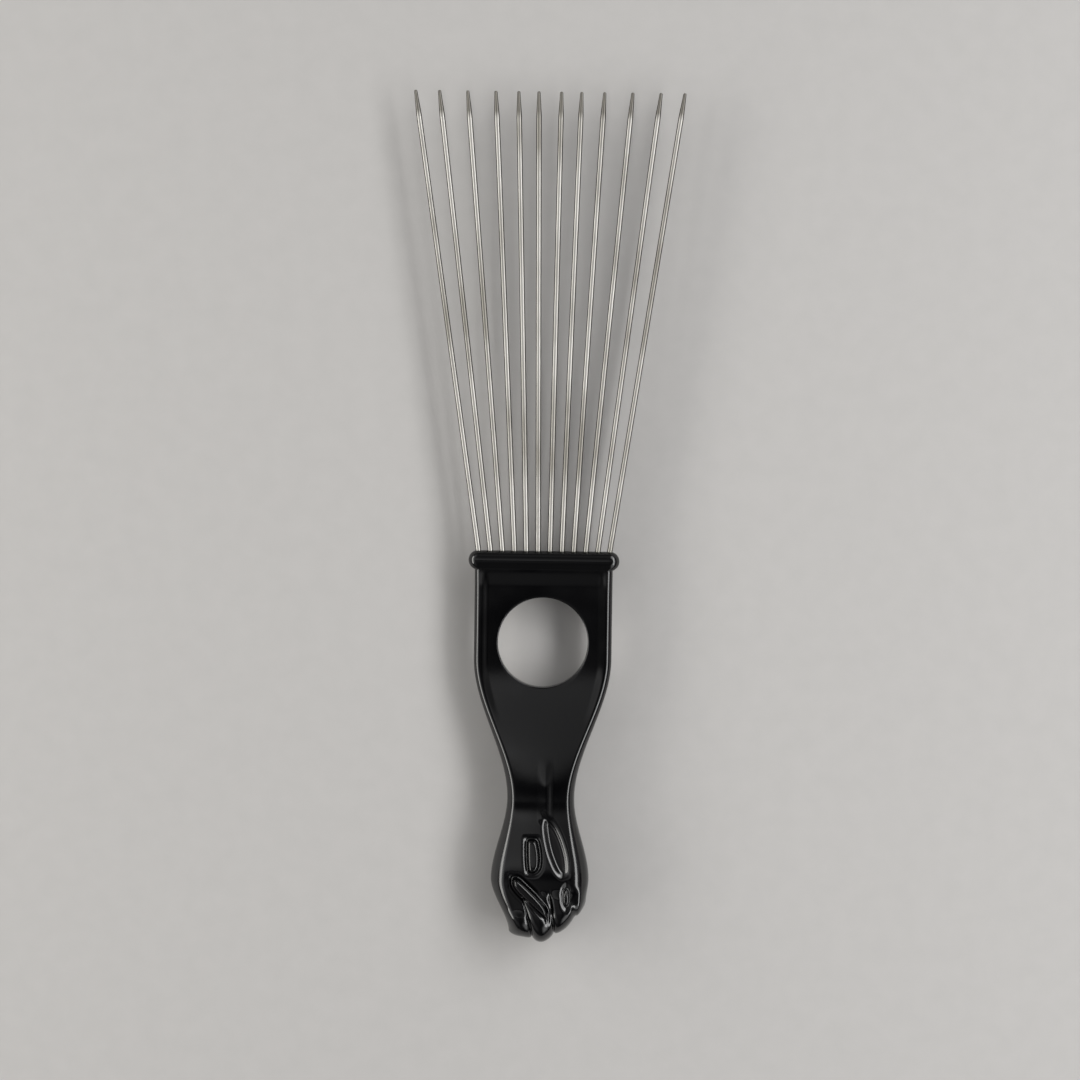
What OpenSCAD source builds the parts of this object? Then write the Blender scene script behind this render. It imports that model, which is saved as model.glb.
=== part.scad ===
// Afro pick: a fan of twelve round steel tines moulded into a one-piece plastic handle.
// The handle is a plate with a rolled collar and a round opening, then a waisted wrist,
// and it ends in a closed fist seen from its palm side, with the knuckles at the far end.
//
// Frame: the pick lies on its back. +Y runs to the tips, +Z out of the palm side, +X to the
// right. The origin is under the middle of the whole pick, at the level it lies on.
// "Drop" is a distance from the collar's centre line towards the knuckles.

/* [Tines] */
// Reach of the tines from the collar's centre line to their tips
tine_reach = 131.3; // [100:0.1:160]
// Diameter of the tine wire
tine_d = 1.5; // [1.2:0.05:1.9]
// Distance between the centres of the two outer tips
tip_spread = 75.3; // [60:0.1:90]
// Length of the ground taper at each tip
taper_len = 7; // [4:0.5:14]
// Diameter at the end of the taper
tip_d = 0.9; // [0.6:0.05:1.1]
// Width of the flattened anchor at the buried end of each tine
anchor_w = 2.1; // [1.9:0.05:2.5]
// Thickness of the anchor
anchor_t = 1; // [0.8:0.05:1.2]
// Length of the anchor
anchor_len = 4; // [2:0.5:5]
// Plastic left between the buried ends and the opening
tail_cover = 2.7; // [2:0.1:4]
// Gap all round between a tine and the plastic that holds it
socket_gap = 0.02; // [0.01:0.005:0.05]

/* [Collar and plate] */
// Diameter of the rolled collar
collar_d = 5.5; // [5:0.1:7]
// How far the collar stands out beyond each side of the plate
collar_overhang = 1.85; // [1:0.05:3]
// Width of the plate
plate_w = 38.9; // [37:0.1:44]
// Drop at which the plate's sides start to draw in
plate_len = 28; // [24:0.5:34]
// Distance from the plate's side to the centre of the outer tine at the collar
root_inset = 1.35; // [1.2:0.05:2.5]
// Thickness of the plate over its rim
rim_t = 4.2; // [3.6:0.1:4.8]
// Thickness of the sunk web inside the rim
web_t = 3.3; // [2.8:0.1:3.6]
// Width of the rim along each side
rim_w = 2; // [1.5:0.1:3]
// Thickness of the web where it runs out of the collar
foot_t = 3.8; // [3.6:0.1:4.8]
// Drop at which the slope from the collar reaches the web
foot_len = 7.5; // [6:0.1:9]
// Diameter of the round opening
opening_d = 25.4; // [20:0.1:28]
// Drop of the opening's centre
opening_drop = 23.1; // [22:0.1:26]

/* [Wrist] */
// Width of the handle at the wrist
wrist_w = 19; // [16:0.1:24]
// Thickness of the handle at the wrist
wrist_t = 9.5; // [7:0.1:12]
// Drop of the wrist, where the handle is narrowest
wrist_drop = 67.4; // [58:0.1:74]

/* [Fist] */
// Width of the fist
fist_w = 27.8; // [24:0.1:34]
// Thickness of the fist at its palm
fist_t = 14; // [11:0.1:18]
// Drop at which the fist is widest
fist_drop = 90.6; // [84:0.1:95]
// Drop of the furthest knuckle
handle_len = 108.7; // [104:0.1:118]
// How far the tips of the knuckle line stand out beyond the notches between the fingers
notch_depth = 1.5; // [0.5:0.1:2.5]
// Height of the thumb above the palm
thumb_rise = 2; // [0.8:0.1:2.6]
// Height of the curled fingers above the creases between them
finger_rise = 1.6; // [0.5:0.1:2.2]
// Length of the creases between the fingers on the back of the fist
finger_back_len = 11; // [8:0.5:16]
// Length over which each fingertip rises out of the palm
curl_len = 3; // [1.5:0.1:4.5]
// Height of the ball of the thumb above the palm
ball_rise = 1; // [0.4:0.1:1.5]
// Depth of the crease round each form of the palm
crease_depth = 0.75; // [0.3:0.05:1.2]
// Width over which the palm rolls into that crease
crease_w = 1.4; // [0.8:0.1:2]
// Width over which a form rises out of its crease
form_round_w = 1.3; // [0.8:0.1:2]
// Rounding of the corners of the forms' outlines
corner_r = 0.3; // [0.25:0.05:0.6]
// Depth of the hollow of the palm
hollow_depth = 1.3; // [0.8:0.1:1.8]
// Width of the tendon down the wrist
tendon_w = 4.8; // [3.6:0.1:6]
// Height of the tendon that runs down the wrist to the hollow
tendon_rise = 0.5; // [0.2:0.05:0.9]

/* [Edges] */
// Rounding of the plate's sides
plate_edge_r = 2; // [1.4:0.1:2.6]
// Rounding of the wrist's sides
wrist_edge_r = 2.5; // [2:0.1:4]
// Rounding of the fist's sides
fist_edge_r = 5; // [3.5:0.1:6.5]

/* [Hidden] */
plastic = "#0d0d0f";
steel = "#b9b6b0";
facets = 48;

// Places of the tips, from the middle outwards, as shares of half the tip spread
tip_shares = [0.084, 0.234, 0.404, 0.613, 0.823, 1];
tine_count = 2 * len(tip_shares);
overall_len = tine_reach + handle_len;
collar_y = overall_len / 2 - tine_reach;
mid_z = fist_t / 2;
collar_len = plate_w + 2 * collar_overhang;
root_spread = plate_w - 2 * root_inset;
tail_len = opening_drop - opening_d / 2 - tail_cover;
overrun = collar_d;

// The fist's own measures: shares across are of half its width, shares along are of the
// length from the wrist to the furthest knuckle
fist_len = handle_len - wrist_drop;
half_fist = fist_w / 2;
// Where the knuckle line starts and ends across the fist
knuckle_ends_share = [-0.62, 0.95];
// How far the knuckle line reaches along the fist, from its first column to its last
knuckle_line_shares = [[-1, 0.95], [-0.6, 0.96], [-0.38, 0.99], [-0.135, 1], [0.15, 0.965],
    [0.4, 0.915], [0.6, 0.87], [0.8, 0.81], [1, 0.73]];
// The creases between the fingers, from the index finger's outer side to the little finger's
crease_shares = [-1, -0.39, 0.18, 0.72, 1];
// Where each finger's curled tip starts along the fist
fingertip_shares = [0.74, 0.61, 0.6, 0.57];
// Outlines of the forms on the palm, clockwise: each is a place across and along the fist
thumb_shares = [[-0.556, 0.52], [-0.43, 0.522], [0.08, 0.684], [0.18, 0.735], [0.195, 0.784],
    [0.165, 0.822], [-0.27, 0.691], [-0.455, 0.635], [-0.562, 0.581]];
ball_shares = [[-0.275, 0.263], [-0.06, 0.263], [0, 0.33], [0.021, 0.4], [0, 0.46],
    [-0.08, 0.495], [-0.24, 0.495], [-0.275, 0.43]];
hollow_shares = [[0.1, 0.125], [0.214, 0.149], [0.338, 0.206], [0.5, 0.34], [0.553, 0.433],
    [0.542, 0.5], [0.451, 0.511], [0.359, 0.484], [0.2, 0.365], [0.105, 0.22]];
// The tip of the ring finger is an oval
ring_tip_share = [0.544, 0.656];
ring_tip_size_share = [0.08, 0.075];
ring_tip_shares = [for (a = [0:45:315]) [ring_tip_share[0] + ring_tip_size_share[0] * cos(a),
    ring_tip_share[1] + ring_tip_size_share[1] * sin(a)]];
tendon_start_share = [0.09, -0.3];
// Share of the fingers' length over which the knuckles round off
knuckle_round_share = 0.42;
// How softly the fist's sides turn in towards the knuckles
side_ease_share = 0.8;
// Bulge across the palm and the wrist, as a share of their thickness
crown_share = 0.1;
// How late the palm rolls into a crease, and how soon a form has risen out of it
roll_power = 1.5;
rise_power = 3;

// Rows of the moulded surface in each stretch, and columns across one side and the middle
plate_rows = 8;
waist_rows = 11;
palm_rows = 29;
finger_rows = 13;
knuckle_rows = 6;
edge_columns = 5;
middle_columns = 26;
columns = 2 * edge_columns + middle_columns;

function ease(share) = let(s = max(0, min(1, share))) s * s * (3 - 2 * s);
function blend(a, b, share) = a + (b - a) * share;
function ease_between(a, b, drop, from, to) = blend(a, b, ease((drop - from) / (to - from)));
function dome(share) = sqrt(max(0, 1 - share * share));

// Half the width of the handle: straight plate, waisted wrist, then the fist
function half_width(drop) = drop < wrist_drop
    ? ease_between(plate_w / 2, wrist_w / 2, drop, plate_len, wrist_drop)
    : ease_between(wrist_w / 2, half_fist, drop, wrist_drop, fist_drop);

// How far in from the side the surface rounds off
function edge_round(drop) = drop < wrist_drop
    ? ease_between(plate_edge_r, wrist_edge_r, drop, plate_len, wrist_drop)
    : ease_between(wrist_edge_r, fist_edge_r, drop, wrist_drop, fist_drop);

// Half the thickness along the middle: slope from the collar, web, wrist and palm
function half_thickness(drop) = drop < foot_len
    ? ease_between(foot_t / 2, web_t / 2, drop, collar_d / 2, foot_len)
    : drop < wrist_drop
        ? ease_between(web_t / 2, wrist_t / 2, drop, plate_len, wrist_drop)
        : ease_between(wrist_t / 2, fist_t / 2, drop, wrist_drop, fist_drop);

// The raised rim along the plate's sides, which dies out towards the wrist
function rim_height(side_gap, drop) = (rim_t - web_t) / 2
    * (1 - ease((side_gap - rim_w) / rim_w))
    * ease((drop - collar_d / 2) / (foot_len - collar_d / 2))
    * (1 - ease((drop - plate_len) / (wrist_drop - plate_len) * 2));

// A finger's rounded height across the fist: 1 on its back, 0 in the creases beside it
function finger_number(column) = column < crease_shares[1] ? 0
    : column < crease_shares[2] ? 1 : column < crease_shares[3] ? 2 : 3;
function finger_dome(column) = let(
        n = finger_number(column),
        half = (crease_shares[n + 1] - crease_shares[n]) / 2,
        middle = (crease_shares[n + 1] + crease_shares[n]) / 2)
    dome((column - middle) / half);

// How far a finger has risen out of the palm at a drop: 0 before its tip, 1 past its curl
function curled(drop, column) =
    ease((drop - wrist_drop - fist_len * fingertip_shares[finger_number(column)]) / curl_len);

// Drop of the knuckle line at a column
function knuckle_line(column) = wrist_drop + fist_len * lookup(column, knuckle_line_shares)
    - notch_depth * (1 - finger_dome(column));

// A place on the fist, given as shares across and along, in millimetres
function on_fist(shares) = [half_fist * shares[0], wrist_drop + fist_len * shares[1]];

// Share of the way from a to b at which p lies, and the distance of p from that line
function along(p, a, b) = max(0, min(1, ((p - a) * (b - a)) / ((b - a) * (b - a))));
function off_line(p, a, b) = norm(p - a - (b - a) * along(p, a, b));

// How far a place lies inside one side of an outline, and inside the whole of an outline
// without hollows, whose corners are rounded
function side_inset(p, a, b) = ((b[0] - a[0]) * (p[1] - a[1]) - (b[1] - a[1]) * (p[0] - a[0])) / norm(b - a);
function inset(p, outline) = let(
        corners = len(outline),
        nearness = [for (n = [0:corners - 1])
            exp(-side_inset(p, outline[n], outline[(n + 1) % corners]) / corner_r)])
    -corner_r * ln(nearness * [for (n = nearness) 1]);

// A form of the palm: the skin rolls over into a crease, then rises or sinks
function form_height(inside, rise) = inside < 0
    ? -crease_depth * pow(max(0, 1 + inside / crease_w), roll_power)
    : (rise + crease_depth) * (1 - pow(max(0, 1 - inside / form_round_w), rise_power)) - crease_depth;

// The forms of the palm together. Each is an outline and how far it stands above the palm.
palm_forms = [
    [[for (shares = thumb_shares) on_fist(shares)], thumb_rise],
    [[for (shares = ball_shares) on_fist(shares)], ball_rise],
    [[for (shares = ring_tip_shares) on_fist(shares)], finger_rise / 2],
    [[for (shares = hollow_shares) on_fist(shares)], -hollow_depth]
];
function palm_height(p, count = len(palm_forms)) = p[1] < wrist_drop || count == 0 ? 0
    : join(palm_height(p, count - 1),
        form_height(inset(p, palm_forms[count - 1][0]), palm_forms[count - 1][1]));

// Forms that meet: the higher one stands, and between them lies the deeper crease
function join(a, b) = a > 0 || b > 0 ? max(a, b) : min(a, b);

// The tendon down the wrist, which runs out at the hollow
function tendon_height(p) = let(
        start = on_fist(tendon_start_share),
        end = on_fist(hollow_shares[0]))
    tendon_rise * ease(along(p, start, end) * 2) * ease(1 - off_line(p, start, end) * 2 / tendon_w);

// Height of the front above the parting plane, and depth of the back below it
function front_height(p, column, side_gap) = let(
        drop = p[1],
        fingers = finger_rise * curled(drop, column) * (finger_dome(column) - 1 / 2))
    half_thickness(drop) * (1 - bulge(drop) * column * column)
        + rim_height(side_gap, drop)
        + on_fingers(fingers, palm_height(p))
        + tendon_height(p);
// A form above the fingers hides them, and its crease is pressed into them
function on_fingers(fingers, form) = form > 0 ? max(fingers, form) : fingers + form;
function back_depth(p, column, side_gap) = let(drop = p[1])
    half_thickness(drop) * (1 - bulge(drop) * column * column)
        + rim_height(side_gap, drop)
        - finger_rise * ease((drop - knuckle_line(column) + finger_back_len) / curl_len)
            * (1 - finger_dome(column));
function bulge(drop) = crown_share * ease((drop - plate_len) / (wrist_drop - plate_len));

// One row of the moulded surface: its drop at the sides, and how far it is along the fingers
function row_drop(row) = row <= plate_rows
    ? plate_len * row / plate_rows
    : row <= plate_rows + waist_rows
        ? blend(plate_len, wrist_drop, (row - plate_rows) / waist_rows)
        : blend(wrist_drop, fist_drop, min(1, (row - plate_rows - waist_rows) / palm_rows));
function row_round(row) = let(n = row - plate_rows - waist_rows - palm_rows - finger_rows)
    n <= 0 ? 1 : cos(90 * n / knuckle_rows);
function row_reach(row) = let(n = row - plate_rows - waist_rows - palm_rows)
    n <= 0 ? 0
    : n <= finger_rows ? (1 - knuckle_round_share) * n / finger_rows
    : 1 - knuckle_round_share * (1 - sin(90 * (n - finger_rows) / knuckle_rows));
last_row = plate_rows + waist_rows + palm_rows + finger_rows + knuckle_rows;

// One column: its distance in from the nearer side, and how far the side's rounding has risen
function column_round(column) = let(n = min(column, columns - column))
    n >= edge_columns ? 1 : sin(90 * n / edge_columns);
function column_x(column, half, edge) = let(
        n = min(column, columns - column),
        side = column * 2 < columns ? -1 : 1)
    n < edge_columns
        ? side * (half - edge * (1 - cos(90 * n / edge_columns)))
        : blend(-1, 1, (column - edge_columns) / middle_columns) * (half - edge);

// A point of the surface, for the front (side 1) or the back (side -1)
function surface_point(row, column, side) = let(
        drop = row_drop(row),
        half = half_width(drop),
        x = column_x(column, half, edge_round(drop)),
        share = x / half,
        reach = row_reach(row),
        end_x = half_fist * blend(knuckle_ends_share[0], knuckle_ends_share[1], (share + 1) / 2),
        p = [blend(x, end_x, blend(reach, ease(reach), side_ease_share)),
            blend(drop, knuckle_line(share), reach)],
        rounding = column_round(column) * row_round(row),
        height = side > 0
            ? front_height(p, share, half - abs(x))
            : back_depth(p, share, half - abs(x)))
    [p[0], -p[1], side * height * rounding];

// The front has every point. The back shares the front's points along the parting line.
front_points = [for (row = [0:last_row], column = [0:columns]) surface_point(row, column, 1)];
back_points = [for (row = [0:last_row - 1], column = [1:columns - 1]) surface_point(row, column, -1)];
function front_index(row, column) = row * (columns + 1) + column;
function back_index(row, column) = row == last_row || column == 0 || column == columns
    ? front_index(row, column)
    : len(front_points) + row * (columns - 1) + column - 1;

// Two triangles for each square of the surface, cut outwards and down from the middle, so that
// no cut at the end corners joins two points of the parting line
function square_faces(a, b, c, d, forward) = forward ? [[a, b, c], [a, c, d]] : [[a, b, d], [b, c, d]];
function proper(faces) = [for (f = faces) if (f[0] != f[1] && f[1] != f[2] && f[2] != f[0]) f];
surface_faces = proper([
    for (row = [0:last_row - 1], column = [0:columns - 1]) let(right = column * 2 >= columns)
        each square_faces(front_index(row, column), front_index(row, column + 1),
            front_index(row + 1, column + 1), front_index(row + 1, column), right),
    for (row = [0:last_row - 1], column = [0:columns - 1]) let(right = column * 2 >= columns)
        each square_faces(back_index(row, column + 1), back_index(row, column),
            back_index(row + 1, column), back_index(row + 1, column + 1), !right),
    for (column = [0:columns - 1])
        each square_faces(front_index(0, column + 1), front_index(0, column),
            back_index(0, column), back_index(0, column + 1), true)
]);

// Plate, wrist and fist as one moulded solid, with its parting plane at zero
module moulded_body() {
    polyhedron(points = concat(front_points, back_points), faces = surface_faces, convexity = 6);
}

// The rolled collar, a round bar with round ends
module collar() {
    rotate([0, 90, 0])
        rotate_extrude($fn = facets)
            polygon(concat(
                [for (a = [0:10:90]) [collar_d / 2 * sin(a), -collar_len / 2 + collar_d / 2 * (1 - cos(a))]],
                [for (a = [90:-10:0]) [collar_d / 2 * sin(a), collar_len / 2 - collar_d / 2 * (1 - cos(a))]]));
}

// Places of a tine's centre at the collar and at its tip
function tine_side(number) = number > tine_count / 2 ? 1 : -1;
function tip_place(number) = let(n = abs(number - (tine_count + 1) / 2) - 1 / 2)
    tine_side(number) * tip_spread / 2 * tip_shares[n];
function root_place(number) = root_spread * ((number - 1) / (tine_count - 1) - 1 / 2);
function tine_angle(number) = atan((tip_place(number) - root_place(number)) / tine_reach);

// Lays a tine along its own line, with zero at the collar's centre line
module on_tine_line(number) {
    translate([root_place(number), 0, 0])
        rotate([-90, 0, -tine_angle(number)])
            children();
}

// The buried end: the wire and its flattened anchor, with a gap all round for the socket
module tail(gap, out) {
    translate([0, 0, -tail_len - gap])
        cylinder(d = tine_d + 2 * gap, h = tail_len + out + gap, $fn = facets);
    translate([0, 0, -tail_len + anchor_len / 2])
        cube([anchor_w + 2 * gap, anchor_t + 2 * gap, anchor_len + 2 * gap], center = true);
}

module handle() {
    color(plastic)
        translate([0, collar_y, mid_z])
            difference() {
                union() {
                    moulded_body();
                    collar();
                }
                translate([0, -opening_drop, -overrun])
                    cylinder(d = opening_d, h = 2 * overrun, $fn = 2 * facets);
                for (number = [1:tine_count])
                    on_tine_line(number)
                        tail(socket_gap, overrun);
            }
}

// One tine: straight wire, ground taper and round point, on the flattened tail
module tine(number) {
    tine_len = tine_reach / cos(tine_angle(number));
    color(steel)
        translate([0, collar_y, mid_z])
            on_tine_line(number) {
                rotate_extrude($fn = facets / 2)
                    polygon(concat(
                        [[0, -tail_len], [tine_d / 2, -tail_len], [tine_d / 2, tine_len - taper_len]],
                        [for (a = [0:18:90]) [tip_d / 2 * cos(a), tine_len - tip_d / 2 * (1 - sin(a))]]));
                translate([0, 0, -tail_len + anchor_len / 2])
                    cube([anchor_w, anchor_t, anchor_len], center = true);
            }
}

handle();
for (number = [1:tine_count])
    tine(number);
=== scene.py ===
"""Afro pick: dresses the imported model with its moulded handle, its steel tines and a studio.

Places on the handle are given as "across", to the right, and "drop", from the collar's centre
line towards the knuckles. All lengths are in metres.
"""

import math
from types import SimpleNamespace

import bmesh
import bpy
from bpy.props import FloatProperty, FloatVectorProperty, PointerProperty
from mathutils import Matrix, Vector


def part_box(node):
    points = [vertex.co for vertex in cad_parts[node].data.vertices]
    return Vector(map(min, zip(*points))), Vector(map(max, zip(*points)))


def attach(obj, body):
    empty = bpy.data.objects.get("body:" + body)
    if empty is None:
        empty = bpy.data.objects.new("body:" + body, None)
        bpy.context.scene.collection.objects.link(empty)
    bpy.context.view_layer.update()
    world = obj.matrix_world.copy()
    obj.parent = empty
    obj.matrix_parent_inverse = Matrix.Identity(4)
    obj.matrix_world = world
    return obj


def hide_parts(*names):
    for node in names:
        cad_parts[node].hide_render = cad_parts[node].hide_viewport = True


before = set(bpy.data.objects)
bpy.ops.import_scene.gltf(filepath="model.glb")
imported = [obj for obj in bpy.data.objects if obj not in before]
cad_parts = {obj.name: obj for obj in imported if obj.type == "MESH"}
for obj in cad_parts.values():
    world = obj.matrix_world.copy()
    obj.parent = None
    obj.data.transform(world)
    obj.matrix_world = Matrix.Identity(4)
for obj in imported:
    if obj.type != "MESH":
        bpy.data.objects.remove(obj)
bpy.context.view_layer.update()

bl_info = {
    "name": "Afro Pick",
    "version": (1, 0, 0),
    "blender": (4, 5, 0),
    "location": "3D View > Sidebar > Afro Pick",
    "description": "Makes the moulded handle, the steel tines and the studio of an afro pick",
    "category": "Object",
}

MM = 0.001

# Places of the tips, from the middle outwards, as shares of half the tip spread
TIP_SHARES = (0.084, 0.234, 0.404, 0.613, 0.823, 1)

# Places on the fist: across as shares of half its width, along as shares of the length from
# the wrist to the furthest knuckle. First the two ends of the knuckles, and their line.
KNUCKLE_ENDS_SHARE = (-0.62, 0.95)
KNUCKLE_LINE_SHARES = ((-1, 0.95), (-0.6, 0.96), (-0.38, 0.99), (-0.135, 1), (0.15, 0.965),
                       (0.4, 0.915), (0.6, 0.87), (0.8, 0.81), (1, 0.73))
# Creases beside the fingers, from the index to the little finger, and each one's tip
CREASE_SHARES = (-1, -0.39, 0.18, 0.72, 1)
FINGERTIP_SHARES = (0.74, 0.61, 0.6, 0.57)
# Outlines of the forms on the palm, clockwise
THUMB_SHARES = ((-0.556, 0.52), (-0.43, 0.522), (0.08, 0.684), (0.18, 0.735), (0.195, 0.784),
                (0.165, 0.822), (-0.27, 0.691), (-0.455, 0.635), (-0.562, 0.581))
BALL_SHARES = ((-0.275, 0.263), (-0.06, 0.263), (0, 0.33), (0.021, 0.4), (0, 0.46),
               (-0.08, 0.495), (-0.24, 0.495), (-0.275, 0.43))
HOLLOW_SHARES = ((0.1, 0.125), (0.214, 0.149), (0.338, 0.206), (0.5, 0.34), (0.553, 0.433),
                 (0.542, 0.5), (0.451, 0.511), (0.359, 0.484), (0.2, 0.365), (0.105, 0.22))
# The ring finger's tip: the middle, half size and sides of its oval
RING_TIP_SHARE = (0.544, 0.656)
RING_TIP_SIZE_SHARE = (0.08, 0.075)
RING_TIP_SIDES = 8
# Where the tendon starts, above the wrist, and the share of its length over which it rises
TENDON_START_SHARE = (0.09, -0.3)
TENDON_RISE_SHARE = 0.5
# Share of the fingers that rounds off to the knuckles, and how widely their line is smoothed
KNUCKLE_ROUND_SHARE = 0.42
KNUCKLE_BLUR_SHARE = 0.05
# How softly the sides draw in to the knuckles, and how much thinner the palm is at its sides
SIDE_EASE_SHARE = 0.8
CROWN_SHARE = 0.1
# Share of the way from the plate to the wrist over which the rim dies out
RIM_END_SHARE = 0.5
# How late the palm rolls into a crease, and how soon a form has risen out of it
ROLL_POWER = 1.5
RISE_POWER = 3
# math.exp overflows a little above 700
EXP_LIMIT = 500

# Rows of the moulded skin in each stretch, and columns across one side and the middle
COLLAR_ROWS = 30
FOOT_ROWS = 8
OPENING_ROWS = 66
WAIST_ROWS = 38
PALM_ROWS = 115
FINGER_ROWS = 46
KNUCKLE_ROWS = 14
EDGE_COLUMNS = 12
MIDDLE_COLUMNS = 92
# The skin's rows and columns bend to the opening. It takes the place of a block that reaches
# this many rows and columns from its middle, and they are straight again ZONE_SIZE as far out.
OPENING_ZONE_SHARE = 1.3
BLOCK_ROWS = 18
BLOCK_COLUMNS = 24
ZONE_SIZE = 1.8
OPENING_EDGE_STEPS = 5
SMOOTH_PASSES = 3

# Sides of a tine, and its rings along the anchor, the bare wire, the taper and the point
TINE_SIDES = 32
ANCHOR_RINGS = 8
WIRE_RINGS = 12
TAPER_RINGS = 8
POINT_RINGS = 6
CHAMFER_SHARE = 0.2
# How far the taper swells past a straight cone
TAPER_EASE_SHARE = 0.3

# Vertices closer than this are one, and edges shorter than the second are slivers
WELD_DISTANCE = MM / 1000
SLIVER = MM / 10000

# Sockets of a Mix node that mixes colours: its two inputs and its output
MIX_A = 6
MIX_B = 7
MIXED = 2

# Point that the camera looks at, from the middle of the collar's centre line
VIEW_OFFSET = (-1.2 * MM, 5.8 * MM, 0)
FLOOR_HALF_WIDTH = 3.0
# Strip lights: width and length, then each one's name, lean from overhead in degrees and tint
STRIP_SIZE = (0.2, 1.0)
STRIPS = (("left_strip", -70, "#fffdf8"), ("right_strip", 52, "#ffffff"))
# Light of the dome in greys. The ring goes by the angle from overhead, in degrees.
RING_LIGHT = ((90, 0.03), (78, 0.12), (68, 1), (50, 1), (42, 0.2), (36, 0.03), (0, 0.008))
# This goes by the angle from overhead towards the tips, and is dark where the camera stands
OVERHEAD_LIGHT = ((-60, 0.02), (-25, 0.03), (-14, 0.055), (-9, 0.05), (-7, 0.008), (-2.5, 0.008),
                  (0, 0.15), (2, 0.18), (5, 0.13), (12, 0.12), (20, 0.08), (32, 0.04), (60, 0.04))
# These go by a direction's part along X or Y, from -1 to 1
ACROSS_LIGHT = ((-1, 0.4), (-0.82, 0.35), (-0.64, 0.22), (-0.36, 0.15), (-0.15, 0.05),
                (0.15, 0.05), (0.36, 1), (0.64, 1), (0.82, 0.1), (1, 0.1))
LENGTHWISE_LIGHT = ((-0.6, 0.4), (-0.3, 1))
OVERHEAD_ACROSS_LIGHT = ((-0.1, 1), (0.12, 0.4))


def length(label, millimetres, description):
    """A length of the pick as a panel setting, given in millimetres and kept in metres."""
    return FloatProperty(name=label, description=description, default=millimetres * MM,
                         min=0.0, precision=5, subtype="DISTANCE", unit="LENGTH")


def linear(hex_colour):
    """An sRGB hex colour as the linear red, green and blue that the shaders take."""
    channels = [int(hex_colour[i:i + 2], 16) / 255 for i in (1, 3, 5)]
    return [c / 12.92 if c <= 0.04045 else ((c + 0.055) / 1.055) ** 2.4 for c in channels]


def colour(label, hex_colour, description):
    """A colour as a panel setting, given as an sRGB hex value."""
    return FloatVectorProperty(name=label, description=description, default=linear(hex_colour),
                               min=0.0, max=1.0, size=3, subtype="COLOR")


class HandleSizes(bpy.types.PropertyGroup):
    """Sizes of the moulded handle."""

    collar_d: length("Collar", 5.5, "Diameter of the rolled collar")
    collar_overhang: length("Collar overhang", 1.85, "How far the collar stands out each side")
    collar_fillet: length("Collar fillet", 0.5, "Rounding where the plate runs out of the collar")
    plate_w: length("Plate width", 38.9, "Width of the plate")
    plate_len: length("Plate length", 28, "Drop at which the plate's sides start to draw in")
    rim_t: length("Rim thickness", 4.2, "Thickness of the plate over its rim")
    web_t: length("Web thickness", 3.3, "Thickness of the sunk web inside the rim")
    rim_w: length("Rim width", 2, "Width of the rim along each side")
    foot_t: length("Foot thickness", 3.8, "Thickness of the web where it leaves the collar")
    foot_len: length("Foot length", 7.5, "Drop at which the slope from the collar ends")
    opening_d: length("Opening", 25.4, "Diameter of the round opening")
    opening_drop: length("Opening drop", 23.1, "Drop of the opening's centre")
    opening_edge_r: length("Opening edge", 0.4, "Rounding of the opening's two edges")
    wrist_w: length("Wrist width", 19, "Width of the handle at the wrist")
    wrist_t: length("Wrist thickness", 9.5, "Thickness of the handle at the wrist")
    wrist_drop: length("Wrist drop", 67.4, "Drop of the wrist")
    fist_w: length("Fist width", 27.8, "Width of the fist")
    fist_t: length("Fist thickness", 14, "Thickness of the fist at its palm")
    fist_drop: length("Fist drop", 90.6, "Drop at which the fist is widest")
    handle_len: length("Handle length", 108.7, "Drop of the furthest knuckle")
    notch_depth: length("Knuckle notches", 1.5, "Depth of the notches between the knuckles")
    thumb_rise: length("Thumb height", 2, "Height of the thumb above the palm")
    finger_rise: length("Finger height", 1.6, "Height of the fingers above their creases")
    finger_back_len: length("Back creases", 11, "Length of the creases on the fist's back")
    curl_len: length("Finger curl", 3, "Length over which each fingertip rises")
    ball_rise: length("Thumb ball", 1, "Height of the ball of the thumb")
    crease_depth: length("Crease depth", 0.75, "Depth of the crease round each form of the palm")
    crease_w: length("Crease width", 1.4, "Width over which the palm rolls into a crease")
    form_round_w: length("Form rounding", 1.3, "Width over which a form rises from its crease")
    corner_r: length("Form corners", 0.3, "Rounding of the corners of the forms' outlines")
    hollow_depth: length("Hollow depth", 1.3, "Depth of the hollow of the palm")
    tendon_w: length("Tendon width", 4.8, "Width of the tendon down the wrist")
    tendon_rise: length("Tendon height", 0.5, "Height of the tendon down the wrist")
    plate_edge_r: length("Plate edge", 2, "Rounding of the plate's sides")
    wrist_edge_r: length("Wrist edge", 2.5, "Rounding of the wrist's sides")
    fist_edge_r: length("Fist edge", 5, "Rounding of the fist's sides")


class TineSizes(bpy.types.PropertyGroup):
    """Sizes of the steel tines."""

    reach: length("Reach", 131.29, "Reach of the tines from the collar's centre line to the tips")
    wire_d: length("Wire", 1.5, "Diameter of the tine wire")
    tip_spread: length("Tip spread", 75.3, "Distance between the centres of the outer tips")
    root_inset: length("Root inset", 1.35, "Distance from the plate's side to the outer tine")
    taper_len: length("Taper", 7, "Length of the ground taper at each tip")
    tip_d: length("Tip", 0.89, "Diameter at the end of the taper")
    tail_len: length("Tail", 7.7, "Length of tine that is moulded in")
    anchor_len: length("Anchor length", 4, "Length of the flattened anchor")
    anchor_w: length("Anchor width", 2.1, "Width of the flattened anchor")
    anchor_t: length("Anchor thickness", 1, "Thickness of the flattened anchor")


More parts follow.
